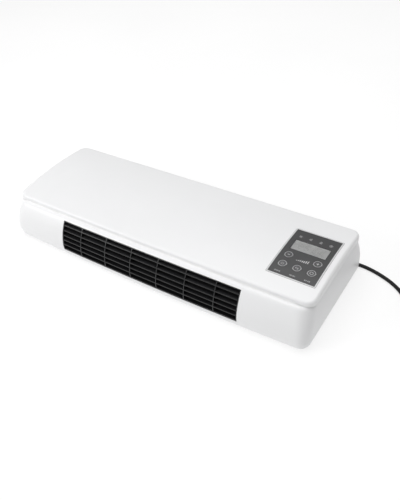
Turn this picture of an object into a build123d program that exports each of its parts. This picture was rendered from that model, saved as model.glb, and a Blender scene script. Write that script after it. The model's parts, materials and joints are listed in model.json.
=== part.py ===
from build123d import *
import math
import os

os.makedirs("parts", exist_ok=True)

# ---------------------------------------------------------------------------
# Wall-mount PTC fan convector heater, lying on its back.
# +X along its length, +Y towards its air inlet (up when it hangs on a wall),
# +Z away from the wall. Origin: bottom centre of the heater, cord left out.
# Millimetres.
# ---------------------------------------------------------------------------

# --- driving dimensions ----------------------------------------------------
HALF_LENGTH = 239.2          # half of the overall length
REAR_MID = 89.6              # inlet wall at half height
HOUSING_BOTTOM = 1.0
HOUSING_TOP = 58.6
CORNER_R = 13.3              # vertical corners at the foot, in plan
CORNER_R_TOP = 19.0          # and at the top
BOTTOM_ROUND = 6.5           # how far the bottom edge rolls in
BOTTOM_ROUND_H = 11.7        # over this height
FRONT_ROUND = 7.67           # the outlet wall rolls in further
FRONT_ROUND_H = 24.0
WALL = 2.5

COVER_HALF = 236.2
COVER_FRONT = -66.3
COVER_BOW = 1.6
COVER_REAR = 81.7
COVER_BOTTOM = 58.9
COVER_WALL = 2.2
COVER_EDGE_R = 4.0
CROWN_Y = 8.95               # crest line of the crowned cover
CROWN_Z = 70.8
CROWN_FRONT_Y, CROWN_FRONT_Z = -66.85, 65.1
CROWN_REAR_Y, CROWN_REAR_Z = 83.05, 65.6

GRILLE_X0, GRILLE_X1 = -139.2, 147.6
GRILLE_Z0, GRILLE_Z1 = 12.2, 55.8
SLAT_T = 1.1
SLATS_Z = (22.2, 29.5, 36.3, 43.2, 49.8)
RIBS_X = (-104.4, -60.4, -16.6, 26.5, 69.9, 113.8)

PANEL_X0, PANEL_X1 = 164.4, 225.2
PANEL_Y0, PANEL_Y1 = -40.9, 44.1
BEZEL_LIP = 1.3
BUTTON_R = 5.2
BUTTON_TRAVEL = 0.4
BUTTONS = {
    "button_minus": (175.7, -5.9),
    "button_plus": (213.7, -5.9),
    "button_power": (175.7, -22.8),
    "button_mode": (194.7, -22.8),
    "button_timer": (213.5, -22.8),
}
LEDS_X = (174.4, 187.9, 201.4, 214.9)
LEDS_Y = 31.8
LCD_X0, LCD_X1, LCD_Y0, LCD_Y1 = 171.8, 218.3, 5.2, 23.9

FAN_Y, FAN_Z, FAN_R = 28.0, 33.0, 24.0
FAN_X0, FAN_X1 = -136.0, 142.0
FAN_BLADES = 24
SHAFT_R = 2.5

INLET_X0, INLET_X1 = -130.0, 138.0
INLET_Z0, INLET_Z1 = 13.0, 50.0

CORD_D = 5.0
CORD_Y, CORD_Z = 80.0, 9.2
POCKET_X0, POCKET_X1 = 178.0, 224.0
POCKET_Y, POCKET_Z = 72.5, 20.0
CHANNEL_Y, CHANNEL_Z = 79.5, 10.5

KEYHOLE_X = 160.0
KEYHOLE_Y = 60.0
SCREW_XY = [(-222, -60), (-222, 0), (-222, 60), (222, -60), (222, 0), (222, 60)]


# --- helpers ---------------------------------------------------------------
def bx(x0, x1, y0, y1, z0, z1):
    return Pos((x0 + x1) / 2, (y0 + y1) / 2, (z0 + z1) / 2) * Box(x1 - x0, y1 - y0, z1 - z0)


def cz(x, y, z0, z1, r):
    return Pos(x, y, (z0 + z1) / 2) * Cylinder(r, z1 - z0)


def cx(x0, x1, y, z, r):
    return Pos((x0 + x1) / 2, y, z) * Rot(0, 90, 0) * Cylinder(r, x1 - x0)


def one(shape):
    """The shape as a plain compound of its solids, or its only solid."""
    s = shape.solids()
    return s[0] if len(s) == 1 else Compound(children=list(s))


def group(items):
    out = []
    for i in items:
        out += list(i.solids())
    return Compound(children=out)


def save(shape, name):
    export_step(shape, "parts/" + name + ".step")


def quad(v0, vm, v1, t):
    return v0 * (1 - t) * (1 - 2 * t) + vm * 4 * t * (1 - t) + v1 * t * (2 * t - 1)


def outline(half, y_front, y_rear, bow, r, z):
    """Rounded rectangle with a slightly bowed front edge, at height z."""
    e = [
        Line((-half, y_rear), (half, y_rear)),
        Line((half, y_rear), (half, y_front)),
        ThreePointArc((half, y_front), (0, y_front - bow), (-half, y_front)),
        Line((-half, y_front), (-half, y_rear)),
    ]
    f = make_face(e)
    f = fillet(f.vertices(), r)
    return Pos(0, 0, z) * f


def rolled(z, depth, height):
    """How far an edge that rolls in by depth over height stands back at z."""
    if z >= height:
        return 0.0
    k = 1 - z / height
    return depth * (1 - math.sqrt(max(0.0, 1 - k * k)))


def front_wall(z):
    """Outlet wall, leaning back towards the top in one long curve."""
    z = max(z, 6.0)
    return ((4.3228e-05 * z + 3.0436e-03) * z - 4.2550e-02) * z - 88.998


def level(z, off=0.0):
    """Plan outline of the lower housing at height z, pulled in by off."""
    t = z / HOUSING_TOP
    roll = rolled(z, BOTTOM_ROUND, BOTTOM_ROUND_H)
    top_roll = 0.0
    if z > HOUSING_TOP - 3.0:
        k = (z - (HOUSING_TOP - 3.0)) / 3.0
        top_roll = 2.2 * (1 - math.sqrt(max(0.0, 1 - k * k)))
    e = roll + top_roll + off
    half = HALF_LENGTH - max(0.0, quad(1.6, 0, 5.0, t)) - e
    bow = 4.9 - 2.9 * min(1.0, max(0.0, z / 56.0))
    yf = front_wall(z) + 0.645 * bow + rolled(z, FRONT_ROUND, FRONT_ROUND_H) + top_roll + off
    yr = REAR_MID - max(0.0, quad(1.8, 0, 5.0, t)) - e
    r = CORNER_R + (CORNER_R_TOP - CORNER_R) * max(0.0, t)
    return outline(half, yf, yr, bow, r - min(e, 6.0), z)


def crown_z(y):
    d = (y - CROWN_Y)
    return CROWN_Z - ((CROWN_Z - CROWN_FRONT_Z) * (d / (CROWN_Y - CROWN_FRONT_Y)) ** 2 if d < 0
                      else (CROWN_Z - CROWN_REAR_Z) * (d / (CROWN_REAR_Y - CROWN_Y)) ** 2)


def crown_slab(below, above, x0=-250.0, x1=250.0):
    """Slab that follows the crown: from `below` under it to `above` over it."""
    y0, y1 = CROWN_FRONT_Y - 8, CROWN_REAR_Y + 8
    a = [(y0, crown_z(y0)), (CROWN_Y, CROWN_Z), (y1, crown_z(y1))]
    lo = [(y, z + below) for y, z in a]
    hi = [(y, z + above) for y, z in a]
    face = make_face([
        ThreePointArc(*lo),
        Line(lo[2], hi[2]),
        ThreePointArc(*reversed(hi)),
        Line(hi[0], lo[0]),
    ])
    # sketch plane: local x = world Y, local y = world Z, normal = world X
    pl = Plane(origin=(x0, 0, 0), x_dir=(0, 1, 0), z_dir=(1, 0, 0))
    return extrude(pl * face, amount=x1 - x0)


def yz_prism(points, x0, x1, spline_ids=None):
    """Closed polygon given as (y, z) points, extruded from x0 to x1."""
    pl = Plane(origin=(x0, 0, 0), x_dir=(0, 1, 0), z_dir=(1, 0, 0))
    return extrude(pl * make_face(Polyline(*points, close=True)), amount=x1 - x0)


def sheet(upper, t, x0, x1):
    """Sheet of thickness t under a smooth (y, z) curve, from x0 to x1."""
    lower = [(y, z - t) for y, z in upper]
    face = make_face([
        Spline(*upper),
        Line(upper[-1], lower[-1]),
        Spline(*reversed(lower)),
        Line(lower[0], upper[0]),
    ])
    pl = Plane(origin=(x0, 0, 0), x_dir=(0, 1, 0), z_dir=(1, 0, 0))
    return extrude(pl * face, amount=x1 - x0)


def ring_x(x0, x1, r_out, r_in, y=FAN_Y, z=FAN_Z):
    return cx(x0, x1, y, z, r_out) - cx(x0 - 1, x1 + 1, y, z, r_in)


def wire(points, radius, bend):
    path = FilletPolyline(*points, radius=bend)
    prof = Plane(origin=path @ 0, z_dir=path % 0) * Circle(radius)
    return sweep(prof, path=path)


# --- main housing ----------------------------------------------------------
LEVELS = (HOUSING_BOTTOM, 2.6, 5.0, 8.5, 13.0, 19.0, 27.0, 36.0, 45.0, 52.0, 55.6, 57.2, 58.2, HOUSING_TOP)
outer = loft([level(z) for z in LEVELS])
inner = loft([level(z, WALL) for z in (-2.0, 1.0, 3.4, 7.0, 12.0, 19.0, 27.0, 36.0, 45.0, 52.0, 55.6)])

housing = outer - inner
# opening through the top flange, under the front cover
housing = housing - extrude(outline(226.0, -60.0, 76.0, 0.06, 8.0, 50.0), amount=20)
# air outlet and air inlet
housing = housing - bx(GRILLE_X0, GRILLE_X1, -110, -60, GRILLE_Z0, GRILLE_Z1)
housing = housing - bx(INLET_X0, INLET_X1, 70, 110, INLET_Z0, INLET_Z1)
# rails that the filter cassette slides on
for z0, z1 in ((INLET_Z0 - 3.5, INLET_Z0 - 2.0), (INLET_Z1 + 2.0, INLET_Z1 + 3.5)):
    housing = housing + (bx(INLET_X0 - 2, INLET_X1 + 2, 77.5, 92, z0, z1) & outer)
# recessed pocket where the cord leaves along the inlet wall
pocket = bx(POCKET_X0 - 2, POCKET_X1 + 2, POCKET_Y - 2, 100, -1, POCKET_Z + 2) & outer
housing = housing + pocket
housing = housing - bx(POCKET_X0, POCKET_X1, POCKET_Y, 100, -2, POCKET_Z)
housing = housing - cx(POCKET_X0 - 4, POCKET_X0 + 2, CORD_Y, CORD_Z, 5.0)
# low channel that lets the cord run on from the pocket under the corner
housing = housing + (bx(POCKET_X1 - 2, 245, CHANNEL_Y - 2, 100, -1, CHANNEL_Z + 2) & outer)
housing = housing - bx(POCKET_X1 - 2, 231, CHANNEL_Y, 100, -2, CHANNEL_Z)
housing = housing - bx(230, 250, CHANNEL_Y + 3.0, 100, -2, CHANNEL_Z)
# screw bosses, joined to the end walls
for x, y in SCREW_XY:
    s = 1 if x > 0 else -1
    b = cz(x, y, 3.4, 18.0, 4.5) + (bx(min(x, s * 239), max(x, s * 239), y - 1.2, y + 1.2, 3.4, 16.0) & outer)
    housing = housing + b
    housing = housing - cz(x, y, 3.0, 16.0, 1.55)
housing = one(housing)
save(housing, "main_housing")

# --- front cover -----------------------------------------------------------
cover = extrude(outline(COVER_HALF, COVER_FRONT, COVER_REAR, COVER_BOW, 13.0, COVER_BOTTOM), amount=25)
cover = cover - crown_slab(0, 30)
top_edges = [e for e in cover.edges() if e.center().Z > COVER_BOTTOM + 4.5 and
             all(v.Z > COVER_BOTTOM + 4.5 for v in e.vertices())]
cover = fillet(top_edges, COVER_EDGE_R)
core = extrude(outline(COVER_HALF - COVER_WALL, COVER_FRONT + COVER_WALL, COVER_REAR - COVER_WALL, COVER_BOW,
                       13.0 - COVER_WALL, COVER_BOTTOM - 1), amount=25)
core = core - crown_slab(-COVER_WALL, 30)
cover = cover - core
# opening for the control panel
cover = cover - bx(PANEL_X0 - BEZEL_LIP, PANEL_X1 + BEZEL_LIP, PANEL_Y0 - BEZEL_LIP, PANEL_Y1 + BEZEL_LIP, 55, 80)
# hooks that reach through the housing's top opening
for x in (-180, -60, 60):
    for y, s in ((-59.4, 1), (75.4, -1)):
        y0, y1 = (y, y + 2.0) if s > 0 else (y - 2.0, y)
        cover = cover + (bx(x - 8, x + 8, y0, y1, 55.0, 69.0) - crown_slab(-1.0, 30))
for s in (-1, 1):
    for y in (-20, 50):
        x0, x1 = sorted((s * 225.4, s * 223.4))
        if s > 0:
            continue
        cover = cover + (bx(x0, x1, y - 8, y + 8, 55.0, 69.0) - crown_slab(-1.0, 30))
save(one(cover), "front_cover")

# --- rear panel ------------------------------------------------------------
rear = extrude(outline(231.2, -76.9, 80.8, 4.6, 9.0, 0.8), amount=2.6)
rear = rear - bx(POCKET_X0 - 2.2, POCKET_X1 + 2.2, POCKET_Y - 2.2, 100, -2, 6)
rear = rear - bx(POCKET_X1, 250, CHANNEL_Y - 2.2, 100, -2, 6)
for x, y in SCREW_XY:
    rear = rear - cz(x, y, 0, 5, 1.7) - cz(x, y, 0.0, 2.2, 3.6)
# keyholes for two wall screws: round entry, slot towards the inlet side
for s in (-1, 1):
    rear = rear - cz(s * KEYHOLE_X, KEYHOLE_Y - 8, -1, 6, 4.75)
    rear = rear - bx(s * KEYHOLE_X - 2.25, s * KEYHOLE_X + 2.25, KEYHOLE_Y - 8, KEYHOLE_Y, -1, 6)
    rear = rear - cz(s * KEYHOLE_X, KEYHOLE_Y, -1, 6, 2.25)
# shallow seats for the four wall pads
PADS = [(-196, -62), (-196, 36), (196, -62), (196, 62)]
for x, y in PADS:
    rear = rear - cz(x, y, 0, 1.5, 8.0)
# standoffs for the power board, and two bosses for the cord clamp
PCB_POSTS = [(165, -52), (207, -52), (165, 46), (207, 46)]
for x, y in PCB_POSTS:
    rear = rear + cz(x, y, 3.4, 12.0, 3.0) - cz(x, y, 3.4, 13, 1.1)
rear = rear + bx(161, 171, 67.0, 77.0, 3.4, CORD_Z) - cz(166, 71.5, 3.4, 11, 1.1)
rear = rear + bx(161, 171, 77.0, 79.6, 3.4, 6.6)
# long stiffening ribs under the end compartments
for x in (-212, -206):
    rear = rear + bx(x, x + 1.6, -50, 50, 3.4, 6.0)
save(one(rear), "rear_panel")

save(group([cz(x, y, 0.0, 1.5, 7.9) for x, y in PADS]), "wall_pads")

# countersunk-style pan screws through the rear panel
save(group([cz(x, y, 0.9, 2.2, 3.3) + cz(x, y, 2.2, 14.0, 1.5) for x, y in SCREW_XY]), "housing_screws")

# --- outlet grille: one egg-crate moulding, curved like the wall ------------
skin = loft([level(z, 0.45) for z in LEVELS])
gx0, gx1, gz0, gz1 = GRILLE_X0 + 0.15, GRILLE_X1 - 0.15, GRILLE_Z0 + 0.15, GRILLE_Z1 - 0.15
g = bx(gx0, gx1, -100, -66, gz0, gz1) - bx(gx0 + 1.2, gx1 - 1.2, -101, -60, gz0 + 2.0, gz1 - 1.1)
for z in SLATS_Z:
    g = g + bx(gx0, gx1, -100, -70, z - SLAT_T / 2, z + SLAT_T / 2)
for x in RIBS_X:
    g = g + bx(x - SLAT_T / 2, x + SLAT_T / 2, -100, -66, gz0, gz1)
g = g & skin
g = g + (bx(gx0 - 3, gx1 + 3, -66, -64.2, gz0 - 2.2, 55.4) - bx(gx0 + 1.2, gx1 - 1.2, -70, -60, gz0 + 2.0, gz1 - 1.1))
save(one(g), "outlet_grille")

# --- filter cassette: inlet grille and dust filter, slides out along +Y ----
ix0, ix1, iz0, iz1 = INLET_X0 + 0.35, INLET_X1 - 0.35, INLET_Z0 + 0.35, INLET_Z1 - 0.35
skin_r = loft([level(z, 0.3) for z in LEVELS])
ig = bx(ix0, ix1, 82.6, 100, iz0, iz1) & skin_r
n_slot = 7
pitch = (iz1 - iz0 - 3.0) / n_slot
cols = 12
cpitch = (ix1 - ix0 - 3.0) / cols
cut = []
for i in range(n_slot):
    z0 = iz0 + 1.5 + i * pitch + 0.75
    for j in range(cols):
        x0 = ix0 + 1.5 + j * cpitch + 0.9
        if 5 <= j <= 6 and i == n_slot // 2:
            continue
        cut.append(bx(x0, x0 + cpitch - 1.8, 60, 110, z0, z0 + pitch - 1.5))
ig = ig - cut
# finger recess in the middle
ig = ig - (bx(4 - 20, 4 + 20, 86.6, 110, 31.5 - 2.0, 31.5 + 2.0))
# side rails of the cassette, running in the housing
ig = ig + bx(ix0, ix1, 78.0, 82.6, iz0, iz0 + 1.4) + bx(ix0, ix1, 78.0, 82.6, iz1 - 1.4, iz1)
ig = ig + bx(ix0, ix0 + 1.4, 78.0, 82.6, iz0, iz1) + bx(ix1 - 1.4, ix1, 78.0, 82.6, iz0, iz1)
save(one(ig), "inlet_grille")

fx0, fx1, fz0, fz1 = ix0 + 1.5, ix1 - 1.5, iz0 + 1.5, iz1 - 1.5
ff = bx(fx0, fx1, 78.4, 82.5, fz0, fz1)
for i in range(6):
    w = (fx1 - fx0 - 2.0) / 6
    x0 = fx0 + 1.0 + i * w
    ff = ff - bx(x0 + 1.0, x0 + w - 1.0, 78.0, 80.9, fz0 + 2.0, fz1 - 2.0)
    ff = ff - bx(x0 + 1.0, x0 + w - 1.0, 81.5, 83.0, fz0 + 2.0, fz1 - 2.0)
save(one(ff), "dust_filter")

# --- control panel ---------------------------------------------------------
def panel_box(m, z0=50, z1=85):
    return bx(PANEL_X0 - m, PANEL_X1 + m, PANEL_Y0 - m, PANEL_Y1 + m, z0, z1)


bez = (crown_slab(-2.7, 0.35) & panel_box(BEZEL_LIP - 0.05)) - (crown_slab(-1.2, 5) & panel_box(0.0))
# locating wall under the cover
bez = bez - bx(LCD_X0, LCD_X1, LCD_Y0, LCD_Y1, 55, 85)
for x, y in BUTTONS.values():
    bez = bez - cz(x, y, 55, 85, 2.9)
for x in LEDS_X:
    bez = bez - cz(x, LEDS_Y, 55, 85, 1.15)
CTRL_POSTS = [(171, -34), (220.5, -34), (171, 39), (220.5, 39)]
for x, y in CTRL_POSTS:
    bez = bez + (cz(x, y, 60.0, 69.5, 2.6) - crown_slab(-2.0, 10)) - cz(x, y, 59, 65, 1.05)
save(one(bez), "control_bezel")

ov = crown_slab(-1.2, -0.15) & panel_box(-0.05)
ov = ov - bx(LCD_X0, LCD_X1, LCD_Y0, LCD_Y1, 55, 85)
for x, y in BUTTONS.values():
    ov = ov - cz(x, y, 55, 85, BUTTON_R + 0.35)
for x in LEDS_X:
    ov = ov - cz(x, LEDS_Y, 55, 85, 1.15)
save(one(ov), "control_overlay")

win = crown_slab(-0.85, -0.2) & bx(LCD_X0 + 0.05, LCD_X1 - 0.05, LCD_Y0 + 0.05, LCD_Y1 - 0.05, 55, 85)
save(one(win), "display_window")

save(one(bx(LCD_X0 - 2, LCD_X1 + 2, LCD_Y0 - 3, LCD_Y1 + 3, 60.0, 65.0) +
         bx(LCD_X0 + 0.4, LCD_X1 - 0.4, LCD_Y0 + 0.4, LCD_Y1 - 0.4, 65.0, 69.7)), "lcd_module")

PLUNGER_Z = 65.2
for name, (x, y) in BUTTONS.items():
    cap = crown_slab(-0.72, -0.1) & cz(x, y, 55, 85, BUTTON_R)
    stem = cz(x, y, PLUNGER_Z, 69.9, 2.5) - crown_slab(-0.5, 10)
    save(one(cap + stem), name)

ctrl = bx(168.0, 223.6, -37.6, 42.4, 58.4, 60.0)
for x, y in CTRL_POSTS:
    ctrl = ctrl - cz(x, y, 58, 61, 1.3)
save(one(ctrl), "control_pcb")
save(group([bx(x - 3, x + 3, y - 3, y + 3, 60.0, 63.5) + cz(x, y, 63.5, 64.4, 1.6)
            for x, y in BUTTONS.values()]), "tact_switches")
save(group([cz(x, LEDS_Y, 60.0, crown_z(LEDS_Y) - 0.2, 1.05) for x in LEDS_X]), "indicator_lights")
save(one(bx(192.5, 198.5, 36.0, 41.0, 60.0, 65.5) + cz(195.5, 38.5, 65.5, 66.6, 2.0)), "ir_receiver")
save(group([cz(x, y, 57.0, 58.4, 2.0) + cz(x, y, 58.4, 64.0, 1.0) for x, y in CTRL_POSTS]), "control_pcb_screws")

# --- cross-flow fan --------------------------------------------------------
blades = []
blade_face = None
for i in range(FAN_BLADES):
    a = 360.0 / FAN_BLADES * i
    r0, r1 = FAN_R - 7.5, FAN_R - 0.4
    # forward-curved blade, an arc of constant thickness
    def p(r, deg):
        w = math.radians(a + deg)
        return (FAN_Y + r * math.cos(w), FAN_Z + r * math.sin(w))
    o0, om, o1 = p(r0, 0.0), p((r0 + r1) / 2, 1.0), p(r1, 9.5)
    i0, im, i1 = p(r0, 3.2), p((r0 + r1) / 2, 3.9), p(r1, 11.6)
    f = make_face([ThreePointArc(o0, om, o1), Line(o1, i1), ThreePointArc(i1, im, i0), Line(i0, o0)])
    pl = Plane(origin=(FAN_X0, 0, 0), x_dir=(0, 1, 0), z_dir=(1, 0, 0))
    blades.append(extrude(pl * f, amount=FAN_X1 - FAN_X0))
discs = []
n_disc = 6
for k in range(n_disc):
    x0 = FAN_X0 + (FAN_X1 - FAN_X0 - 2.0) * k / (n_disc - 1)
    if k in (0, n_disc - 1):
        discs.append(cx(x0, x0 + 2.0, FAN_Y, FAN_Z, FAN_R))
    else:
        discs.append(ring_x(x0, x0 + 2.0, FAN_R, FAN_R - 9.5))
fan = discs[0].fuse(*discs[1:], *blades)
fan = fan + cx(FAN_X0, FAN_X0 + 14, FAN_Y, FAN_Z, 6.5) + cx(FAN_X1 - 14, FAN_X1, FAN_Y, FAN_Z, 6.5)
fan = fan - cx(FAN_X0 - 1, FAN_X1 + 1, FAN_Y, FAN_Z, SHAFT_R)
save(one(fan), "fan_wheel")
save(one(cx(-192.0, 153.0, FAN_Y, FAN_Z, SHAFT_R)), "fan_shaft")

# --- motor -----------------------------------------------------------------
case = cx(-188, -156, FAN_Y, FAN_Z, 22) - cx(-186.4, -157.6, FAN_Y, FAN_Z, 20.6)
case = case - cx(-190, -150, FAN_Y, FAN_Z, SHAFT_R + 0.05)
for k in range(8):
    w = math.radians(45 * k + 22.5)
    case = case - cx(-190, -150, FAN_Y + 14 * math.cos(w), FAN_Z + 14 * math.sin(w), 2.6)
save(one(case), "motor_case")
st = ring_x(-180, -164, 20.6, 13.5)
for k in range(6):
    w = 60 * k
    st = st - (Pos(0, FAN_Y, FAN_Z) * Rot(w, 0, 0) * bx(-181, -163, -1.2, 1.2, 13, 18.2))
save(one(st), "motor_stator")
save(group([ring_x(-184.6, -180, 18.6, 14.4), ring_x(-164, -159.4, 18.6, 14.4)]), "motor_windings")
save(one(ring_x(-180, -164, 12.9, SHAFT_R)), "motor_rotor")
cradle = bx(-182, -162, -0.5, 56.5, 3.4, 24) - cx(-190, -150, FAN_Y, FAN_Z, 22.0)
cradle = cradle - bx(-183, -161, 12, 44, 5.4, 9.0)
for y in (2.4, 53.6):
    cradle = cradle - cz(-172, y, 12, 25, 1.3)
save(one(cradle), "motor_cradle")
strap = ring_x(-178, -166, 23.4, 22.0) & bx(-190, -150, 0, 60, 24, 60)
strap = strap + bx(-178, -166, -0.4, 8.0, 24, 25.6) + bx(-178, -166, 48.0, 56.4, 24, 25.6)
strap = strap - cx(-190, -150, FAN_Y, FAN_Z, 22.0)
for y in (2.4, 53.6):
    strap = strap - cz(-172, y, 20, 30, 1.6)
save(one(strap), "motor_strap")
save(group([cz(-172, y, 25.6, 27.4, 2.3) + cz(-172, y, 14, 25.6, 1.25) for y in (2.4, 53.6)]), "motor_screws")

# --- fan bearing in a rubber mount ----------------------------------------
mount = ring_x(146.2, 152.0, 9.0, 5.5) - (ring_x(148.0, 150.0, 9.5, 7.0))
save(one(mount), "bearing_mount")
save(one(ring_x(146.2, 152.0, 5.5, SHAFT_R + 0.05)), "fan_bearing")

# --- air duct: scroll floor, tongue ceiling and two end plates -------------
floor_curve = [(66, 20), (60, 12.5), (46, 7.6), (28, 6.3), (8, 6.6), (-20, 7.8), (-63.9, 9.8)]
ceil_curve = [(6.5, 51.0), (-5, 52.2), (-30, 53.6), (-63.9, 54.9)]
duct = sheet(floor_curve, 2.0, -142, 150) + sheet(ceil_curve, 1.8, -142, 150)
plate = [(-63.9, 7.8), (-20, 5.8), (28, 4.3), (46, 5.6), (60, 10.5), (66, 18), (66, 50), (28, 61.0), (6, 57), (-63.9, 54.9)]
duct = duct + yz_prism(plate, -142, -140) + yz_prism(plate, 148, 150)
duct = duct - cx(-144, -138, FAN_Y, FAN_Z, 7.0) - cx(146, 152, FAN_Y, FAN_Z, 7.0)
# flat pads on the ceiling for the thermal cut-outs
duct = duct + bx(86, 114, -41, -21, 52.4, 55.2) + bx(38, 62, -36, -26, 52.4, 55.2)
# feet on the rear panel
DUCT_FEET = [(-147, -50), (-147, 40), (155, -50), (155, 40)]
for x, y in DUCT_FEET:
    xa, xb = (x - 4, -140.5) if x < 0 else (148.5, x + 4)
    duct = duct + bx(xa, xb, y - 5, y + 5, 3.4, 8.4) - cz(x, y, 3, 10, 1.3)
# slots for the heater's terminals
duct = duct - bx(147, 151, -39, -31, 22.9, 25.9) - bx(147, 151, -39, -31, 35.5, 38.5)
save(one(duct), "air_duct")
save(group([cz(x, y, 8.4, 10.0, 2.3) + cz(x, y, 3.4, 8.4, 1.25) for x, y in DUCT_FEET]), "duct_screws")

# --- PTC heater ------------------------------------------------------------
PX0, PX1 = -131.5, 139.5
pf = bx(-139.6, 147.6, -44, -26, 10.4, 51.4) - bx(PX0, PX1, -50, -20, 13.8, 47.6)
pf = pf - bx(138, 149, -38.0, -32.0, 23.9, 24.9) - bx(138, 149, -38.0, -32.0, 36.5, 37.5)
save(one(pf), "ptc_frame")
save(group([bx(PX0, PX1, -41, -29, 22.4, 26.4), bx(PX0, PX1, -41, -29, 35.0, 39.0)]), "ptc_bars")


def fin_pack(z0, z1):
    """Row of thin upright fins joined by a foil at the bottom."""
    p = bx(PX0, PX1, -40.6, -29.4, z0, z0 + 0.5)
    n = 54
    w = (PX1 - PX0) / n
    fins = [bx(PX0 + w * (i + 0.5) - 0.3, PX0 + w * (i + 0.5) + 0.3, -40.6, -29.4, z0, z1) for i in range(n)]
    return p.fuse(*fins)


save(group([fin_pack(13.8, 22.4), fin_pack(26.4, 35.0), fin_pack(39.0, 47.6)]), "ptc_fins")
save(group([bx(139.5, 158.0, -38.0, -32.0, 24.0, 24.8), bx(139.5, 158.0, -38.0, -32.0, 36.6, 37.4)]), "ptc_terminals")

# --- thermal cut-outs ------------------------------------------------------
th = bx(88, 112, -36, -26, 55.2, 56.2) + cz(100, -31, 56.2, 62.0, 7.5)
th = th + bx(90.0, 91.0, -33, -29, 56.2, 61.5) + bx(109.0, 110.0, -33, -29, 56.2, 61.5)
save(one(th), "thermostat")
tf = cx(43, 57, -31, 57.2, 2.0) + cx(40, 60, -31, 57.2, 0.5)
tf = tf + bx(47, 53, -31.6, -30.4, 55.2, 56.0)
save(one(tf), "thermal_fuse")

# --- power electronics -----------------------------------------------------
pcb = bx(159, 213, -57, 51, 12.0, 13.6)
for x, y in PCB_POSTS:
    pcb = pcb - cz(x, y, 11, 15, 1.3)
save(one(pcb), "power_pcb")
save(group([cz(x, y, 13.6, 15.2, 2.1) + cz(x, y, 6.0, 13.6, 1.0) for x, y in PCB_POSTS] +
           [cz(166, 71.5, CORD_Z + 4.4, CORD_Z + 6.0, 2.1) + cz(166, 71.5, 6.0, CORD_Z + 4.4, 1.0)]), "board_screws")


def block(x, y, lx, ly, h, r=0.8):
    b = bx(x - lx / 2, x + lx / 2, y - ly / 2, y + ly / 2, 13.6, 13.6 + h)
    return fillet(b.edges().filter_by(Axis.Z), r)


save(group([block(188, -36, 19, 15.5, 15.5), block(188, -14, 19, 15.5, 15.5)]), "relays")
save(one(block(206, -26, 8, 18, 15.0, 1.5)), "film_capacitor")
save(one(cz(204, -2, 13.6, 29.6, 5.0)), "electrolytic_capacitor")
save(one(cz(188, 6, 13.6, 22.6, 6.0) - cz(188, 6, 21.6, 24, 1.0)), "buzzer")
tb = block(165, 30, 12, 22, 12.0, 0.6)
for y in (24.5, 35.5):
    tb = tb - cz(165, y, 20, 27, 2.2)
save(one(tb), "terminal_block")
save(group([cz(165, y, 20.0, 22.5, 2.1) for y in (24.5, 35.5)]), "terminal_screws")
save(group([bx(184, 198, 38, 43, 13.6, 19.6), bx(184, 198, 33.4, 38.4, 52.4, 58.4)]), "cable_headers")
rib_path = FilletPolyline((191, 40.5, 19.6), (191, 40.5, 36.0), (191, 35.9, 38.0), (191, 35.9, 52.4), radius=2.0)
rp = Plane(origin=rib_path @ 0, x_dir=(1, 0, 0), z_dir=rib_path % 0) * Rectangle(12, 0.9)
save(one(sweep(rp, path=rib_path)), "ribbon_cable")
save(group([
    wire([(158.0, -35.0, 24.4), (164.0, -35.0, 24.4), (164.0, -35.0, 13.6)], 1.2, 3.5),
    wire([(158.0, -35.0, 37.0), (170.0, -35.0, 37.0), (170.0, -35.0, 13.6)], 1.2, 5.0),
    wire([(160.0, 78.8, CORD_Z), (155.4, 78.8, CORD_Z), (155.4, 52.0, 12.5), (155.4, 35.5, 18.5), (159.0, 35.5, 18.5)], 1.0, 2.0),
    wire([(160.0, 81.2, CORD_Z), (152.6, 81.2, CORD_Z), (152.6, 58.0, 14.0), (152.6, 24.5, 18.5), (159.0, 24.5, 18.5)], 1.0, 2.4),
]), "internal_wires")

# --- mains cord ------------------------------------------------------------
# sheath end inside, its clamp, the moulded strain relief in the pocket
save(one(cx(160.0, POCKET_X0 - 4.0, CORD_Y, CORD_Z, CORD_D / 2)), "cord_sheath_end")
clamp = bx(162, 170, 68.0, 84.2, CORD_Z, CORD_Z + 4.4) - cx(160, 172, CORD_Y, CORD_Z, CORD_D / 2)
clamp = clamp - cz(166, 71.5, 7, 15, 1.3)
save(one(clamp), "cord_clamp")

relief_tip = 198.0
pl_r = Plane(origin=(0, CORD_Y, CORD_Z), x_dir=(1, 0, 0), z_dir=(0, -1, 0))
relief_face = make_face(Polyline(
    (POCKET_X0 - 4.0, 0), (POCKET_X0 - 4.0, 5.5), (POCKET_X0 - 2.0, 5.5), (POCKET_X0 - 2.0, 5.0),
    (POCKET_X0, 5.0), (POCKET_X0, 6.0), (POCKET_X0 + 2.5, 6.0), (POCKET_X0 + 4.0, 4.9),
    (relief_tip, 3.1), (relief_tip, 0), close=True))
relief = revolve(pl_r * relief_face, axis=Axis((0, CORD_Y, CORD_Z), (1, 0, 0)), revolution_arc=360)
for k in range(4):
    x = POCKET_X0 + 6.2 + 3.6 * k
    rr = 4.9 - 1.8 * (x - POCKET_X0 - 4.0) / 16.0
    relief = relief - ring_x(x, x + 1.3, 8.0, rr - 0.75, CORD_Y, CORD_Z)
save(one(relief), "strain_relief")

# free cord: out of the strain relief, down to the floor behind the corner,
# then forward to its coil. Straight runs joined by tangent arcs.
CORD_ROUTE = [
    (198.0, 80.0, 9.2), (210.0, 80.0, 9.2), (222.0, 83.2, 5.8), (238.0, 88.8, 2.5), (254.0, 85.8, 2.5),
    (271.0, 80.2, 2.5), (287.0, 73.0, 2.5), (303.0, 62.0, 2.5), (324.7, 37.4, 2.5),
]
CORD_END = [
    (399.1, 65.0, 5.6), (399.1, 81.0, 3.4), (391.6, 94.0, 7.2), (378.6, 101.5, 12.0), (364.5, 101.5, 12.0),
]
COIL_X, COIL_Y = 364.0, 46.0
COIL_R = 27.5               # middle of the turns
COIL_HALF_W = 10.2
COIL_H = 10.0


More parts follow.
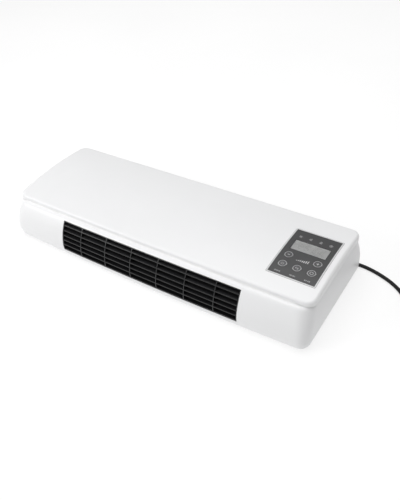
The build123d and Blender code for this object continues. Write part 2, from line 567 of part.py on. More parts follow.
def route_radii(pts, share=0.45):
    out = []
    for i in range(1, len(pts) - 1):
        a = Vector(*pts[i]) - Vector(*pts[i - 1])
        b = Vector(*pts[i + 1]) - Vector(*pts[i])
        turn = math.radians(a.get_angle(b))
        out.append(share * min(a.length, b.length) / math.tan(turn / 2))
    return out


def cord_tube(pts):
    r = route_radii(pts)
    print("cord bend radii", [round(v, 1) for v in r])
    path = FilletPolyline(*pts, radius=r)
    tube = sweep(Plane(origin=path @ 0, z_dir=path % 0) * Circle(CORD_D / 2), path=path)
    print("cord tube length", round(path.length, 1), "volume ratio",
          round(tube.volume / (path.length * math.pi * CORD_D ** 2 / 4), 3))
    return one(tube)


save(cord_tube(CORD_ROUTE), "power_cord")
save(cord_tube(CORD_END), "cord_plug_end")

coil = Pos(COIL_X, COIL_Y, COIL_H / 2) * (Cylinder(COIL_R + COIL_HALF_W, COIL_H) - Cylinder(COIL_R - COIL_HALF_W, COIL_H + 2))
coil = fillet(coil.edges(), 2.4)
save(one(coil), "cord_coil")

# contour plug, two 4.8 mm pins 19 mm apart, lying flat beside the coil
PLUG_TAIL_X, PLUG_Y, PLUG_Z = 364.5, 101.5, 12.0
PLUG_LEN = 44.0
PLUG_FACE_X = PLUG_TAIL_X - PLUG_LEN


def plug_section(w, h, x):
    f = make_face([
        ThreePointArc((-w * 0.84, h * 0.62), (0, h), (w * 0.84, h * 0.62)),
        ThreePointArc((w * 0.84, h * 0.62), (w, 0), (w * 0.84, -h * 0.62)),
        ThreePointArc((w * 0.84, -h * 0.62), (0, -h), (-w * 0.84, -h * 0.62)),
        ThreePointArc((-w * 0.84, -h * 0.62), (-w, 0), (-w * 0.84, h * 0.62)),
    ])
    return Plane(origin=(x, PLUG_Y, PLUG_Z), x_dir=(0, 1, 0), z_dir=(1, 0, 0)) * f


plug = loft([plug_section(18.0, 11.6, PLUG_FACE_X), plug_section(18.4, 11.8, PLUG_FACE_X + 10),
             plug_section(17.0, 11.6, PLUG_FACE_X + 22), plug_section(10.5, 8.6, PLUG_FACE_X + 34),
             plug_section(6.0, 5.6, PLUG_TAIL_X)])
pins = []
for s in (-1, 1):
    y = PLUG_Y + 9.5 * s
    plug = plug - cx(PLUG_FACE_X - 2, PLUG_FACE_X + 8, y, PLUG_Z, 2.4)
    pins.append(cx(PLUG_FACE_X - 17.4, PLUG_FACE_X + 8, y, PLUG_Z, 2.4) + (Pos(PLUG_FACE_X - 17.4, y, PLUG_Z) * Sphere(2.4)
                & bx(PLUG_FACE_X - 19.0, PLUG_FACE_X - 17.0, y - 5, y + 5, 0, 30)))
save(one(plug), "plug_body")
save(group(pins), "plug_pins")
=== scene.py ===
import json
import math

import bmesh
import bpy
from mathutils import Matrix, Vector

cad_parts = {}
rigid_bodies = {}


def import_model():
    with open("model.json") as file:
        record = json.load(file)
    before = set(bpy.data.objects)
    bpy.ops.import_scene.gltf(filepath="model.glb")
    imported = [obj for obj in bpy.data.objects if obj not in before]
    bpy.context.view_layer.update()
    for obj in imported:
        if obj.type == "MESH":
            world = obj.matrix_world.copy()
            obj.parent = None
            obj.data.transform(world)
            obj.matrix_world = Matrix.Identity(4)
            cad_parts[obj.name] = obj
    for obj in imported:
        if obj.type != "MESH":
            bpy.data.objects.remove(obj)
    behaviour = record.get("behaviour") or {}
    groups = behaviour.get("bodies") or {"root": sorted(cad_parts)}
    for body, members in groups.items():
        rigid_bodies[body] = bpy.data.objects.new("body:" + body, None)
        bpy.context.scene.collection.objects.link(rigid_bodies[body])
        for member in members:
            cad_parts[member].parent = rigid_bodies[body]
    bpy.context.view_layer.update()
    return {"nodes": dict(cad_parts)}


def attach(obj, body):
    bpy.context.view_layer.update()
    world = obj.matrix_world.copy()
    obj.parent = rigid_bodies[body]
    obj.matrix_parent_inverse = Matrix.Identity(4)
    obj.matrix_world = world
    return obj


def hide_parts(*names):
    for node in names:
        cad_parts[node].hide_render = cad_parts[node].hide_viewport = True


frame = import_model()
NODES = frame["nodes"]
MM = 0.001
scene = bpy.context.scene

# ---------------------------------------------------------------------------
# camera
# ---------------------------------------------------------------------------
cam_data = bpy.data.cameras.new("camera")
cam = bpy.data.objects.new("camera", cam_data)
scene.collection.objects.link(cam)
scene.camera = cam
cam_data.sensor_fit = "AUTO"
cam_data.sensor_width = 36.0
cam_data.lens = 41.42
cam_data.clip_start = 0.01
cam_data.clip_end = 60.0
AX = Vector((0.838754, 0.539784, -0.071589))
AY = Vector((-0.311036, 0.582868, 0.750681))
AZ = Vector((0.446933, -0.607369, 0.656775))
cam.matrix_world = Matrix((
    (AX.x, AY.x, AZ.x, 0.397092),
    (AX.y, AY.y, AZ.y, -0.488051),
    (AX.z, AY.z, AZ.z, 0.543504),
    (0, 0, 0, 1),
))

# ---------------------------------------------------------------------------
# free mains cord: one smooth curve, wound up where the camera doesn't see it
# ---------------------------------------------------------------------------
CORD_R = 2.5
CORD_ROUTE = [
    (198.0, 80.0, 9.2), (210.0, 80.0, 9.2), (222.0, 83.4, 5.8), (238.0, 88.9, 2.5), (254.0, 86.7, 2.5),
    (271.0, 81.7, 2.5), (287.0, 74.8, 2.5), (303.0, 63.6, 2.5), (324.7, 37.4, 2.5),
]
CORD_END = [
    (399.1, 65.0, 5.6), (399.1, 81.0, 3.4), (391.6, 94.0, 7.2), (378.6, 101.5, 12.0), (364.5, 101.5, 12.0),
]
COIL = (364.0, 46.0)
R_OUT, R_IN, CORD_D = 35.1, 19.8, 5.0


def coil_points():
    """Turns of the put-away length: three in, one and a bit rising, three out on top."""
    start = math.radians(221.5)
    total = 2 * math.pi * (7 + (360.0 - 221.5) / 360.0)
    spiral = 2 * math.pi * 3
    hold = total - 2 * spiral
    n = 30 * 3
    out = []
    steps = int(round(total / math.radians(24)))
    for i in range(1, steps + 1):
        t = total * i / steps
        if t < spiral:
            r, z = R_OUT + (R_IN - R_OUT) * t / spiral, 2.5
        elif t < spiral + hold:
            k = (t - spiral) / hold
            r, z = R_IN, 2.5 + 4.95 * min(1.0, max(0.0, (k - 0.05) / 0.62))
        else:
            r, z = R_IN + (R_OUT - R_IN) * (t - spiral - hold) / spiral, 7.45
        a = start + t
        r = r * 1.011
        out.append((COIL[0] + r * math.cos(a), COIL[1] + r * math.sin(a), z))
    return out


def cord_curve(name, pts, diameter):
    cu = bpy.data.curves.new(name, "CURVE")
    cu.dimensions = "3D"
    cu.bevel_depth = diameter / 2 * MM
    cu.bevel_resolution = 5
    cu.resolution_u = 12
    cu.use_fill_caps = True
    sp = cu.splines.new("NURBS")
    sp.points.add(len(pts) - 1)
    for p, q in zip(sp.points, pts):
        p.co = (q[0] * MM, q[1] * MM, q[2] * MM, 1.0)
    sp.order_u = 3
    sp.use_endpoint_u = True
    ob = bpy.data.objects.new(name, cu)
    scene.collection.objects.link(ob)
    return ob


cord_pts = CORD_ROUTE[:-1] + [(324.7, 37.4, 2.5), (337.7 + 0.6, 22.75 - 0.5, 2.5)] + coil_points() + CORD_END
flex = cord_curve("mains_cord", cord_pts, CORD_D)

# ---------------------------------------------------------------------------
# stage and light
# ---------------------------------------------------------------------------
floor_me = bpy.data.meshes.new("floor")
floor_me.from_pydata([(-9, -9, 0), (9, -9, 0), (9, 9, 0), (-9, 9, 0)], [], [(0, 1, 2, 3)])
floor = bpy.data.objects.new("floor", floor_me)
scene.collection.objects.link(floor)
floor.location.z = -0.0001

world = bpy.data.worlds.new("world")
scene.world = world
world.use_nodes = True
bg = world.node_tree.nodes["Background"]
bg.inputs["Color"].default_value = (1.0, 1.0, 1.0, 1.0)
bg.inputs["Strength"].default_value = 1.0
wt = world.node_tree
wc = wt.nodes.new("ShaderNodeTexCoord")
ws = wt.nodes.new("ShaderNodeSeparateXYZ")
wr = wt.nodes.new("ShaderNodeValToRGB")
wm = wt.nodes.new("ShaderNodeMath")
wm.operation = "MULTIPLY_ADD"
wm.inputs[1].default_value = 0.5
wm.inputs[2].default_value = 0.5
wt.links.new(wc.outputs["Generated"], ws.inputs["Vector"])
wt.links.new(ws.outputs["Z"], wm.inputs[0])
wt.links.new(wm.outputs[0], wr.inputs["Fac"])
wt.links.new(wr.outputs["Color"], bg.inputs["Color"])
SKY = ((0.0, 0.306), (0.49, 0.306), (0.51, 0.306), (0.75, 0.306), (1.0, 0.306))
while len(wr.color_ramp.elements) < len(SKY):
    wr.color_ramp.elements.new(0.5)
for el, (pos, val) in zip(wr.color_ramp.elements, SKY):
    el.position = pos
    el.color = (val, val, val, 1.0)


def area(name, loc, target, size, power, color=(1, 1, 1)):
    d = bpy.data.lights.new(name, "AREA")
    d.shape = "DISK"
    d.size = size
    d.energy = power
    d.color = color
    ob = bpy.data.objects.new(name, d)
    scene.collection.objects.link(ob)
    ob.location = loc
    ob.rotation_euler = (Vector(target) - Vector(loc)).to_track_quat("-Z", "Y").to_euler()
    return ob


area("overhead", (-0.10, 0.10, 1.9), (0.0, 0.0, 0.0), 2.0, 28.2)
area("left_front", (-1.05, -1.15, 0.75), (-0.10, -0.05, 0.03), 0.9, 11.0)
area("right_fill", (1.5, 0.1, 0.7), (0.2, 0.0, 0.03), 0.9, 0.3)

scene.view_settings.view_transform = "Standard"
scene.view_settings.look = "None"
scene.view_settings.exposure = 0.0
scene.view_settings.gamma = 1.0


# ---------------------------------------------------------------------------
# materials
# ---------------------------------------------------------------------------
def new_mat(name):
    m = bpy.data.materials.new(name)
    m.use_nodes = True
    nt = m.node_tree
    b = nt.nodes["Principled BSDF"]
    return m, nt, b


def coords(nt):
    n = nt.nodes.new("ShaderNodeTexCoord")
    return n.outputs["Object"]


def noise(nt, vec, scale, detail=3.0, rough=0.5):
    n = nt.nodes.new("ShaderNodeTexNoise")
    n.inputs["Scale"].default_value = scale
    n.inputs["Detail"].default_value = detail
    n.inputs["Roughness"].default_value = rough
    nt.links.new(vec, n.inputs["Vector"])
    return n.outputs["Fac"]


def ramp(nt, fac, stops):
    n = nt.nodes.new("ShaderNodeValToRGB")
    cr = n.color_ramp
    while len(cr.elements) < len(stops):
        cr.elements.new(0.5)
    for e, (p, c) in zip(cr.elements, stops):
        e.position = p
        e.color = (c, c, c, 1.0) if isinstance(c, float) else (c[0], c[1], c[2], 1.0)
    nt.links.new(fac, n.inputs["Fac"])
    return n.outputs["Color"]


def bump(nt, height, strength, distance, after=None):
    n = nt.nodes.new("ShaderNodeBump")
    n.inputs["Strength"].default_value = strength
    n.inputs["Distance"].default_value = distance
    nt.links.new(height, n.inputs["Height"])
    if after is not None:
        nt.links.new(after, n.inputs["Normal"])
    return n.outputs["Normal"]


def tint(c, k):
    return tuple(min(1.0, v * k) for v in c)


def plastic(name, color, rough=0.4, var=0.03, grain=2200.0, grain_s=0.10, mottle=35.0, coat=0.0, spec=0.5, metallic=0.0, rvar=0.05):
    """Moulded plastic or painted part: faint mottling, uneven gloss, fine grain."""
    m, nt, b = new_mat(name)
    v = coords(nt)
    big = noise(nt, v, mottle, 4.0, 0.55)
    col = ramp(nt, big, [(0.30, tint(color, 1.0 - var)), (0.70, tint(color, 1.0 + var))])
    nt.links.new(col, b.inputs["Base Color"])
    r = ramp(nt, noise(nt, v, mottle * 2.3, 3.0, 0.6), [(0.30, max(0.02, rough - rvar)), (0.72, min(1.0, rough + rvar))])
    nt.links.new(r, b.inputs["Roughness"])
    fine = noise(nt, v, grain, 2.0, 0.5)
    nt.links.new(bump(nt, fine, grain_s, 0.00008), b.inputs["Normal"])
    b.inputs["Metallic"].default_value = metallic
    b.inputs["Specular IOR Level"].default_value = spec
    if coat:
        b.inputs["Coat Weight"].default_value = coat
        b.inputs["Coat Roughness"].default_value = 0.12
    return m


def metal(name, color, rough=0.3, brushed=None, var=0.06):
    m, nt, b = new_mat(name)
    v = coords(nt)
    mp = nt.nodes.new("ShaderNodeMapping")
    mp.inputs["Scale"].default_value = brushed or (1.0, 1.0, 1.0)
    nt.links.new(v, mp.inputs["Vector"])
    n = noise(nt, mp.outputs["Vector"], 400.0, 4.0, 0.6)
    nt.links.new(ramp(nt, n, [(0.3, tint(color, 1 - var)), (0.7, tint(color, 1 + var))]), b.inputs["Base Color"])
    nt.links.new(ramp(nt, n, [(0.3, rough - 0.06), (0.7, rough + 0.08)]), b.inputs["Roughness"])
    nt.links.new(bump(nt, n, 0.15, 0.00005), b.inputs["Normal"])
    b.inputs["Metallic"].default_value = 1.0
    return m


M = {}
M["shell"] = plastic("white_shell", (0.800, 0.802, 0.808), rough=0.36, var=0.010, grain=1500.0, grain_s=0.05, mottle=9.0, spec=0.5, rvar=0.03)
M["back"] = plastic("back_shell", (0.70, 0.70, 0.70), rough=0.52, var=0.015, grain=900.0, grain_s=0.22, mottle=12.0)
M["grille"] = plastic("black_grille", (0.012, 0.012, 0.013), rough=0.34, var=0.15, grain=1800.0, grain_s=0.12, mottle=60.0)
M["bezel"] = plastic("bezel_grey", (0.66, 0.66, 0.665), rough=0.30, var=0.02, grain=1600.0, grain_s=0.06, mottle=40.0)
M["panel"] = plastic("panel_dark", (0.053, 0.053, 0.0545), rough=0.40, var=0.04, grain=3000.0, grain_s=0.14, mottle=70.0)
M["key"] = plastic("key_dark", (0.074, 0.074, 0.077), rough=0.38, var=0.04, grain=3000.0, grain_s=0.14, mottle=90.0)
M["bright"] = plastic("print_bright", (0.90, 0.90, 0.90), rough=0.55, var=0.06, grain=2600.0, grain_s=0.10, mottle=300.0)
M["print"] = plastic("print_white", (0.50, 0.50, 0.505), rough=0.55, var=0.06, grain=2600.0, grain_s=0.10, mottle=300.0)
M["lcd"] = plastic("lcd_face", (0.60, 0.605, 0.60), rough=0.45, var=0.05, grain=4000.0, grain_s=0.03, mottle=160.0)
M["segment"] = plastic("lcd_segment", (0.50, 0.505, 0.50), rough=0.45, var=0.04, grain=4000.0, grain_s=0.03, mottle=120.0)
M["tick"] = plastic("print_dim", (0.33, 0.33, 0.335), rough=0.55, var=0.06, grain=2600.0, grain_s=0.10, mottle=300.0)
M["strip"] = plastic("strip_grey", (0.83, 0.83, 0.832), rough=0.7, var=0.03, grain=1500.0, grain_s=0.1, mottle=40.0)
# dark grey of the painted shadow line laid round the bezel, where the gap between bezel and cover is in shade
M["seam"] = plastic("seam_grey", (0.30, 0.30, 0.305), rough=0.6, var=0.05, grain=2400.0, grain_s=0.1, mottle=90.0)
M["pipe"] = plastic("light_pipe", (0.34, 0.34, 0.34), rough=0.25, var=0.05, grain=2000.0, grain_s=0.05, mottle=200.0)
M["cord"] = plastic("cord_black", (0.008, 0.008, 0.0085), rough=0.46, var=0.2, grain=1400.0, grain_s=0.25, mottle=120.0)
for cord_bsdf in M["cord"].node_tree.nodes:
    if cord_bsdf.type == "BSDF_PRINCIPLED":
        cord_bsdf.inputs["Specular IOR Level"].default_value = 0.20
M["black"] = plastic("black_part", (0.018, 0.018, 0.019), rough=0.46, var=0.15, grain=1500.0, grain_s=0.25, mottle=80.0)
M["grey"] = plastic("grey_plastic", (0.055, 0.055, 0.058), rough=0.5, var=0.08, grain=1500.0, grain_s=0.2, mottle=60.0)
M["frame"] = plastic("heater_frame", (0.025, 0.025, 0.026), rough=0.55, var=0.12, grain=1200.0, grain_s=0.25, mottle=50.0)
M["ivory"] = plastic("ivory_plastic", (0.62, 0.59, 0.50), rough=0.4, var=0.04)
M["rubber"] = plastic("soft_rubber", (0.035, 0.035, 0.036), rough=0.75, var=0.15, grain=1200.0, grain_s=0.4)
M["pcb"] = plastic("board_green", (0.02, 0.11, 0.045), rough=0.35, var=0.15, grain=900.0, grain_s=0.3, mottle=220.0, coat=0.3)
M["wire"] = plastic("wire_jacket", (0.42, 0.05, 0.04), rough=0.4, var=0.08)
M["mesh"] = plastic("filter_mesh", (0.05, 0.05, 0.055), rough=0.7, var=0.2)
M["steel"] = metal("zinc_steel", (0.60, 0.61, 0.63), rough=0.30)
M["lam"] = metal("lamination_steel", (0.25, 0.25, 0.27), rough=0.45, brushed=(30.0, 1.0, 1.0))
M["copper"] = metal("copper", (0.75, 0.36, 0.20), rough=0.32, brushed=(1.0, 8.0, 8.0))
M["alu"] = metal("fin_aluminium", (0.55, 0.55, 0.56), rough=0.42)
M["brass"] = metal("contact_brass", (0.78, 0.62, 0.34), rough=0.25)
M["nickel"] = metal("pin_nickel", (0.66, 0.64, 0.60), rough=0.18)

# display lens: clear, faintly grey, smooth
lens, nt, b = new_mat("display_lens")
v = coords(nt)
nt.links.new(ramp(nt, noise(nt, v, 160.0), [(0.3, 0.86), (0.7, 0.92)]), b.inputs["Base Color"])
nt.links.new(ramp(nt, noise(nt, v, 500.0), [(0.3, 0.06), (0.7, 0.12)]), b.inputs["Roughness"])
b.inputs["Transmission Weight"].default_value = 1.0
b.inputs["IOR"].default_value = 1.46
M["lens"] = lens

# floor
fm, nt, b = new_mat("floor_paper")
v = coords(nt)
nt.links.new(ramp(nt, noise(nt, v, 3.0), [(0.3, 0.30), (0.7, 0.32)]), b.inputs["Base Color"])
b.inputs["Roughness"].default_value = 0.9
b.inputs["Specular IOR Level"].default_value = 0.1
b.inputs["Emission Color"].default_value = (1, 1, 1, 1)
b.inputs["Emission Strength"].default_value = 0.70
floor.data.materials.append(fm)

FINISH = {
    "shell": ["main_housing", "front_cover", "inlet_grille"],
    "back": ["rear_panel"],
    "grille": ["outlet_grille"],
    "mesh": ["dust_filter"],
    "bezel": ["control_bezel"],
    "panel": ["control_overlay"],
    "key": ["button_minus", "button_plus", "button_power", "button_mode", "button_timer"],
    "lens": ["display_window"],
    "lcd": ["lcd_module"],
    "pipe": ["indicator_lights"],
    "pcb": ["control_pcb", "power_pcb"],
    "black": ["tact_switches", "ir_receiver", "buzzer", "relays", "electrolytic_capacitor", "strain_relief", "plug_body"],
    "steel": ["control_pcb_screws", "housing_screws", "duct_screws", "motor_screws", "board_screws", "fan_shaft", "motor_case",
              "motor_strap", "terminal_screws"],
    "lam": ["motor_stator", "motor_rotor"],
    "copper": ["motor_windings"],
    "grey": ["fan_wheel", "air_duct", "motor_cradle", "cord_clamp"],
    "frame": ["ptc_frame"],
    "alu": ["ptc_bars", "ptc_fins", "thermostat"],
    "brass": ["ptc_terminals", "fan_bearing"],
    "nickel": ["plug_pins"],
    "rubber": ["bearing_mount", "wall_pads"],
    "ivory": ["thermal_fuse", "terminal_block", "cable_headers", "film_capacitor"],
    "wire": ["internal_wires", "ribbon_cable"],
    "cord": ["power_cord", "cord_plug_end", "cord_coil", "cord_sheath_end"],
}
for key, names in FINISH.items():
    for nm in names:
        me = NODES[nm].data
        me.materials.clear()
        me.materials.append(M[key])

# ---------------------------------------------------------------------------
# cord finish; the curve is parented to the heater body and the CAD cord parts are hidden
# ---------------------------------------------------------------------------
flex.data.materials.append(M["cord"])
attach(flex, "heater")
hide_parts("power_cord", "cord_coil", "cord_plug_end")


# ---------------------------------------------------------------------------
# keypad print: raised ink, 0.05 mm thick, following the crowned face
# ---------------------------------------------------------------------------
def circle3(p, q, r):
    ax, ay, bx_, by_, cx_, cy_ = p[0], p[1], q[0], q[1], r[0], r[1]
    d = 2 * (ax * (by_ - cy_) + bx_ * (cy_ - ay) + cx_ * (ay - by_))
    ux = ((ax * ax + ay * ay) * (by_ - cy_) + (bx_ * bx_ + by_ * by_) * (cy_ - ay) + (cx_ * cx_ + cy_ * cy_) * (ay - by_)) / d
    uy = ((ax * ax + ay * ay) * (cx_ - bx_) + (bx_ * bx_ + by_ * by_) * (ax - cx_) + (cx_ * cx_ + cy_ * cy_) * (bx_ - ax)) / d
    return ux, uy, math.hypot(ax - ux, ay - uy)


CY, CZ, CR = circle3((-74.85, 63.8329), (8.95, 70.8), (91.05, 64.4166))


def crown(y):
    return CZ + math.sqrt(CR * CR - (y - CY) ** 2)


class Ink:
    """Collects flat strokes as thin closed solids on the crowned face."""

    def __init__(self, under, thick=0.06, sink=0.03):
        self.bm = bmesh.new()
        self.under, self.thick, self.sink = under, thick, sink

    def prism(self, ring):
        """Convex or star-shaped outline, list of (x, y) in mm."""
        top, bot = [], []
        for x, y in ring:
            z = crown(y) + self.under
            top.append(self.bm.verts.new((x * MM, y * MM, (z + self.thick - self.sink) * MM)))
            bot.append(self.bm.verts.new((x * MM, y * MM, (z - self.sink) * MM)))
        n = len(ring)
        self.bm.faces.new(top)
        self.bm.faces.new(list(reversed(bot)))
        for i in range(n):
            j = (i + 1) % n
            self.bm.faces.new((top[j], top[i], bot[i], bot[j]))

    def stroke(self, pts, w, closed=False):
        """Ribbon of width w along the points."""
        n = len(pts)
        left, right = [], []
        for i, (x, y) in enumerate(pts):
            if closed:
                a, c = pts[i - 1], pts[(i + 1) % n]
            else:
                a, c = pts[max(0, i - 1)], pts[min(n - 1, i + 1)]
            dx, dy = c[0] - a[0], c[1] - a[1]
            k = math.hypot(dx, dy) or 1.0
            nx, ny = -dy / k * w / 2, dx / k * w / 2
            left.append((x + nx, y + ny))
            right.append((x - nx, y - ny))
        cnt = n if closed else n - 1
        vs = []
        for (lx, ly), (rx, ry) in zip(left, right):
            row = []
            for x, y, up in ((lx, ly, 1), (rx, ry, 1), (rx, ry, 0), (lx, ly, 0)):
                z = crown(y) + self.under - self.sink + (self.thick if up else 0.0)
                row.append(self.bm.verts.new((x * MM, y * MM, z * MM)))
            vs.append(row)
        for i in range(cnt):
            a, c = vs[i], vs[(i + 1) % n]
            for k in range(4):
                m = (k + 1) % 4
                self.bm.faces.new((a[k], a[m], c[m], c[k]))
        if not closed:
            self.bm.faces.new(list(reversed(vs[0])))
            self.bm.faces.new(vs[-1])

    def arc(self, x, y, r, a0, a1, w, n=None):
        n = n or max(6, int(abs(a1 - a0) / 9))
        full = abs(abs(a1 - a0) - 360) < 1e-6
        pts = []
        for i in range(n if full else n + 1):
            a = math.radians(a0 + (a1 - a0) * i / n)
            pts.append((x + r * math.cos(a), y + r * math.sin(a)))
        self.stroke(pts, w, closed=full)

    def bar(self, x, y, lx, ly, shear=0.0, r=0.12):
        hx, hy = lx / 2, ly / 2
        ring = []
        for cx_, cy_, a0 in ((hx - r, hy - r, 0), (-hx + r, hy - r, 90), (-hx + r, -hy + r, 180), (hx - r, -hy + r, 270)):
            for k in range(4):
                a = math.radians(a0 + 30 * k)
                px, py = cx_ + r * math.cos(a), cy_ + r * math.sin(a)
                ring.append((x + px + shear * py, y + py))
        self.prism(ring)

    def disc(self, x, y, r, n=24):
        self.prism([(x + r * math.cos(2 * math.pi * i / n), y + r * math.sin(2 * math.pi * i / n)) for i in range(n)])

    def done(self, name, mat, body, slot):
        bmesh.ops.recalc_face_normals(self.bm, faces=self.bm.faces)
        me = bpy.data.meshes.new(name)
        self.bm.to_mesh(me)
        self.bm.free()
        me.materials.append(mat)
        ob = bpy.data.objects.new(name, me)
        scene.collection.objects.link(ob)
        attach(ob, body)
        return ob


ON_OVERLAY, ON_KEY = -0.15, -0.10
ink = Ink(ON_OVERLAY)
# level bars between minus and plus
rise = Ink(ON_OVERLAY)
for i in range(7):
    h = 1.2 + 0.58 * i
    rise.bar(188.4 + 2.38 * i, -11.3 + h / 2, 0.66, h, shear=0.16, r=0.10)
rise.done("level_bars", M["bright"], "heater", "panel_dark")
# marks round the four indicator lights
LED_X, LED_Y = (174.4, 187.9, 201.4, 214.9), 31.8
for k in range(8):
    a = math.radians(45 * k)
    ink.stroke([(LED_X[0] + 1.5 * math.cos(a), LED_Y + 1.5 * math.sin(a)), (LED_X[0] + 2.3 * math.cos(a), LED_Y + 2.3 * math.sin(a))], 0.34)
for k in range(3):
    ink.arc(LED_X[1], LED_Y, 1.75, 20 + 120 * k, 90 + 120 * k, 0.42)
for k in range(2):
    ink.arc(LED_X[2], LED_Y, 1.8, 200 + 180 * k, 340 + 180 * k, 0.40)
ink.arc(LED_X[3], LED_Y, 1.9, 0, 360, 0.36)
# neutral tick marks under the lower keys
ticks = Ink(ON_OVERLAY)
for x0, widths in ((175.4, (1.5, 0.7, 1.3, 0.7, 1.5)), (194.8, (0.9, 1.6, 0.7, 1.6, 0.8)), (213.9, (1.7, 1.1, 0.0, 1.1, 1.9))):
    total = sum(widths) + 0.42 * (len(widths) - 1)
    x = x0 - total / 2
    for w in widths:
        if w:
            ticks.bar(x + w / 2, -36.1, w * 0.8, 1.8, r=0.1)
        x += w + 0.42
ticks.done("label_ticks", M["tick"], "heater", "panel_dark")
# painted shadow: a thin dark-grey ring round the bezel stands in for the shade in the gap between bezel and cover
seam = Ink(0.0, thick=0.05, sink=0.03)
SX0, SX1, SY0, SY1 = 164.4 - 1.55, 225.2 + 1.55, -40.9 - 1.55, 44.1 + 1.55
ring = []
for cx_, cy_, a0 in ((SX1 - 1.2, SY1 - 1.2, 0), (SX0 + 1.2, SY1 - 1.2, 90), (SX0 + 1.2, SY0 + 1.2, 180), (SX1 - 1.2, SY0 + 1.2, 270)):
    for k in range(7):
        a = math.radians(a0 + 15 * k)
        ring.append((cx_ + 1.2 * math.cos(a), cy_ + 1.2 * math.sin(a)))
dense = []
for i in range(len(ring)):
    x0, y0 = ring[i]
    x1, y1 = ring[(i + 1) % len(ring)]
    n = max(1, int(math.hypot(x1 - x0, y1 - y0) / 3.0))
    dense += [(x0 + (x1 - x0) * j / n, y0 + (y1 - y0) * j / n) for j in range(n)]
seam.stroke(dense, 0.55, closed=True)
seam.done("bezel_seam", M["seam"], "heater", "bezel_grey")
ink.done("overlay_print", M["print"], "heater", "panel_dark")

KEYS = {
    "minus": (175.7, -5.9), "plus": (213.7, -5.9), "power": (175.7, -22.8), "mode": (194.7, -22.8), "timer": (213.5, -22.8),
}
for name, (x, y) in KEYS.items():
    k = Ink(ON_KEY)
    k.arc(x, y, 4.72, 0, 360, 0.50, n=56)
    if name == "minus":
        k.bar(x, y, 3.0, 0.75)
    elif name == "plus":
        k.bar(x, y, 3.2, 0.8)
        k.bar(x, y, 0.8, 3.2)
    elif name == "power":
        k.arc(x, y - 0.1, 1.7, 125, 415, 0.42)
        k.bar(x, y + 1.2, 0.42, 1.8)
    elif name == "mode":
        k.arc(x - 0.9, y + 0.5, 0.9, 60, 300, 0.42)
        k.arc(x + 0.9, y - 0.5, 0.9, -120, 120, 0.42)
        k.bar(x, y, 0.5, 0.5)
    else:
        k.arc(x, y, 2.0, 0, 360, 0.50, n=36)
    k.done("print_" + name, M["print"], "key_" + name, "panel_dark")

# ---------------------------------------------------------------------------
# flat tie holding the put-away turns together
# ---------------------------------------------------------------------------
def coil_tie(name, at_deg, width):
    at = math.radians(at_deg)
    rr, zz = [], []
    for x, y, z in coil_points():
        a = math.atan2(y - COIL[1], x - COIL[0])
        if abs(math.remainder(a - at, 2 * math.pi)) < math.radians(14):
            rr.append(math.hypot(x - COIL[0], y - COIL[1]))
            zz.append(z)
    r0, r1 = min(rr) - CORD_R, max(rr) + CORD_R
    z0, z1 = 0.06, max(zz) + CORD_R
    rc, zc, ha, hb = (r0 + r1) / 2, (z0 + z1) / 2, (r1 - r0) / 2 + 0.2, (z1 - z0) / 2
    bm = bmesh.new()
    n = 56
    rows = []
    for i in range(n):
        t = 2 * math.pi * i / n
        c, q = math.cos(t), math.sin(t)
        ex, ez = math.copysign(abs(c) ** 0.55, c), math.copysign(abs(q) ** 0.55, q)
        row = []
        for side, grow in ((-1, 0.0), (1, 0.0), (1, 0.7), (-1, 0.7)):
            r = rc + (ha + grow) * ex
            z = max(0.05, zc + (hb + grow) * ez)
            x = COIL[0] + r * math.cos(at) - side * width / 2 * math.sin(at)
            y = COIL[1] + r * math.sin(at) + side * width / 2 * math.cos(at)
            row.append(bm.verts.new((x * MM, y * MM, z * MM)))
        rows.append(row)
    for i in range(n):
        a, b = rows[i], rows[(i + 1) % n]
        for j in range(4):
            k = (j + 1) % 4
            bm.faces.new((a[j], a[k], b[k], b[j]))
    bmesh.ops.recalc_face_normals(bm, faces=bm.faces)
    me = bpy.data.meshes.new(name)
    bm.to_mesh(me)
    bm.free()
    me.materials.append(M["black"])
    ob = bpy.data.objects.new(name, me)
    scene.collection.objects.link(ob)
    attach(ob, "heater")
    return ob


coil_tie("coil_tie", 300.0, 4.0)

# ---------------------------------------------------------------------------
# soft grey sealing strip in the step between the housing and the cover
# ---------------------------------------------------------------------------
def strip_front(name, x_end):
    """Concave strip along the cover's front edge, following its slight bow."""
    bm = bmesh.new()
    rows = []
    n = 96
    for i in range(n + 1):
        x = -x_end + 2 * x_end * i / n
        taper = min(1.0, (x_end - abs(x)) / 14.0 + 0.12)
        edge = -66.3 - 1.6 * (1 - (x / 236.2) ** 2)
        ledge = 2.0 * taper * (0.75 + 0.35 * (1 - (x / 236.2) ** 2))
        rise = 2.3 * taper
        row = []
        for j in range(9):
            a = math.pi / 2 * j / 8
            y = edge - ledge * (1 - math.sin(a)) - 0.02
            z = 58.62 + rise * (1 - math.cos(a)) + 0.06
            row.append(bm.verts.new((x * MM, y * MM, z * MM)))
        row.append(bm.verts.new((x * MM, (edge + 0.3) * MM, (58.62 + rise) * MM)))
        row.append(bm.verts.new((x * MM, (edge + 0.3) * MM, 58.62 * MM)))
        row.append(bm.verts.new((x * MM, (edge - ledge) * MM, 58.60 * MM)))
        rows.append(row)
    m = len(rows[0])
    for i in range(n):
        for j in range(m):
            k = (j + 1) % m
            bm.faces.new((rows[i][j], rows[i][k], rows[i + 1][k], rows[i + 1][j]))
    bm.faces.new(rows[0])
    bm.faces.new(list(reversed(rows[-1])))
    bmesh.ops.recalc_face_normals(bm, faces=bm.faces)
    me = bpy.data.meshes.new(name)
    bm.to_mesh(me)
    bm.free()
    for f in me.polygons:
        f.use_smooth = True
    me.materials.append(M["strip"])
    ob = bpy.data.objects.new(name, me)
    scene.collection.objects.link(ob)
    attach(ob, "heater")
    return ob


strip_front("cover_strip", 221.0)

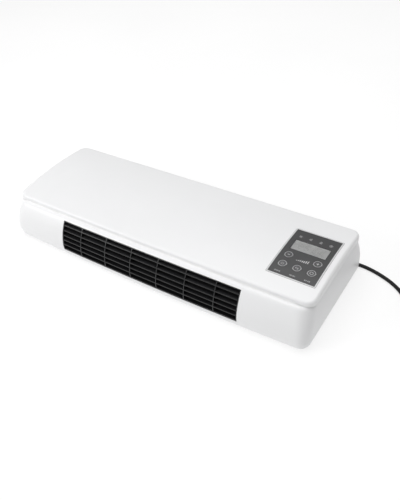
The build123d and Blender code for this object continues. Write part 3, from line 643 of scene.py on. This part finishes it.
# ---------------------------------------------------------------------------
# display: faint segments under the lens
# ---------------------------------------------------------------------------
seg = Ink(0.0, thick=0.08, sink=0.04)
LCD_TOP = 69.7


def seg_bar(x0, y0, x1, y1, w):
    dx, dy = x1 - x0, y1 - y0
    k = math.hypot(dx, dy)
    ux, uy = dx / k, dy / k
    nx, ny = -uy * w / 2, ux * w / 2
    t = w / 2
    ring = [(x0, y0), (x0 + ux * t + nx, y0 + uy * t + ny), (x1 - ux * t + nx, y1 - uy * t + ny), (x1, y1),
            (x1 - ux * t - nx, y1 - uy * t - ny), (x0 + ux * t - nx, y0 + uy * t - ny)]
    top, bot = [], []
    for x, y in ring:
        top.append(seg.bm.verts.new((x * MM, y * MM, (LCD_TOP + 0.05) * MM)))
        bot.append(seg.bm.verts.new((x * MM, y * MM, (LCD_TOP - 0.03) * MM)))
    seg.bm.faces.new(top)
    seg.bm.faces.new(list(reversed(bot)))
    for i in range(6):
        j = (i + 1) % 6
        seg.bm.faces.new((top[j], top[i], bot[i], bot[j]))


def digit(x, y, w, h, t, which):
    g = 0.25
    hh = h / 2
    s = {
        "a": (x + g, y + h, x + w - g, y + h), "b": (x + w, y + h - g, x + w, y + hh + g), "c": (x + w, y + hh - g, x + w, y + g),
        "d": (x + g, y, x + w - g, y), "e": (x, y + hh - g, x, y + g), "f": (x, y + h - g, x, y + hh + g),
        "g": (x + g, y + hh, x + w - g, y + hh),
    }
    for ch in which:
        seg_bar(*s[ch], t)


digit(180.0, 9.8, 4.6, 9.0, 1.1, "abdeg")
digit(188.0, 9.8, 4.6, 9.0, 1.1, "acdfg")
digit(199.0, 9.8, 3.4, 6.4, 0.8, "abcdef")
digit(205.2, 9.8, 3.4, 6.4, 0.8, "abcdefg")
seg_bar(195.6, 17.2, 196.6, 17.2, 0.9)
seg_bar(195.6, 11.8, 196.6, 11.8, 0.9)
seg.done("display_segments", M["segment"], "heater", "lcd_body")

# ---------------------------------------------------------------------------
for ob in scene.objects:
    if ob.type == "MESH" and not ob.data.materials and ob.name != "floor":
        ob.data.materials.append(M["grey"])
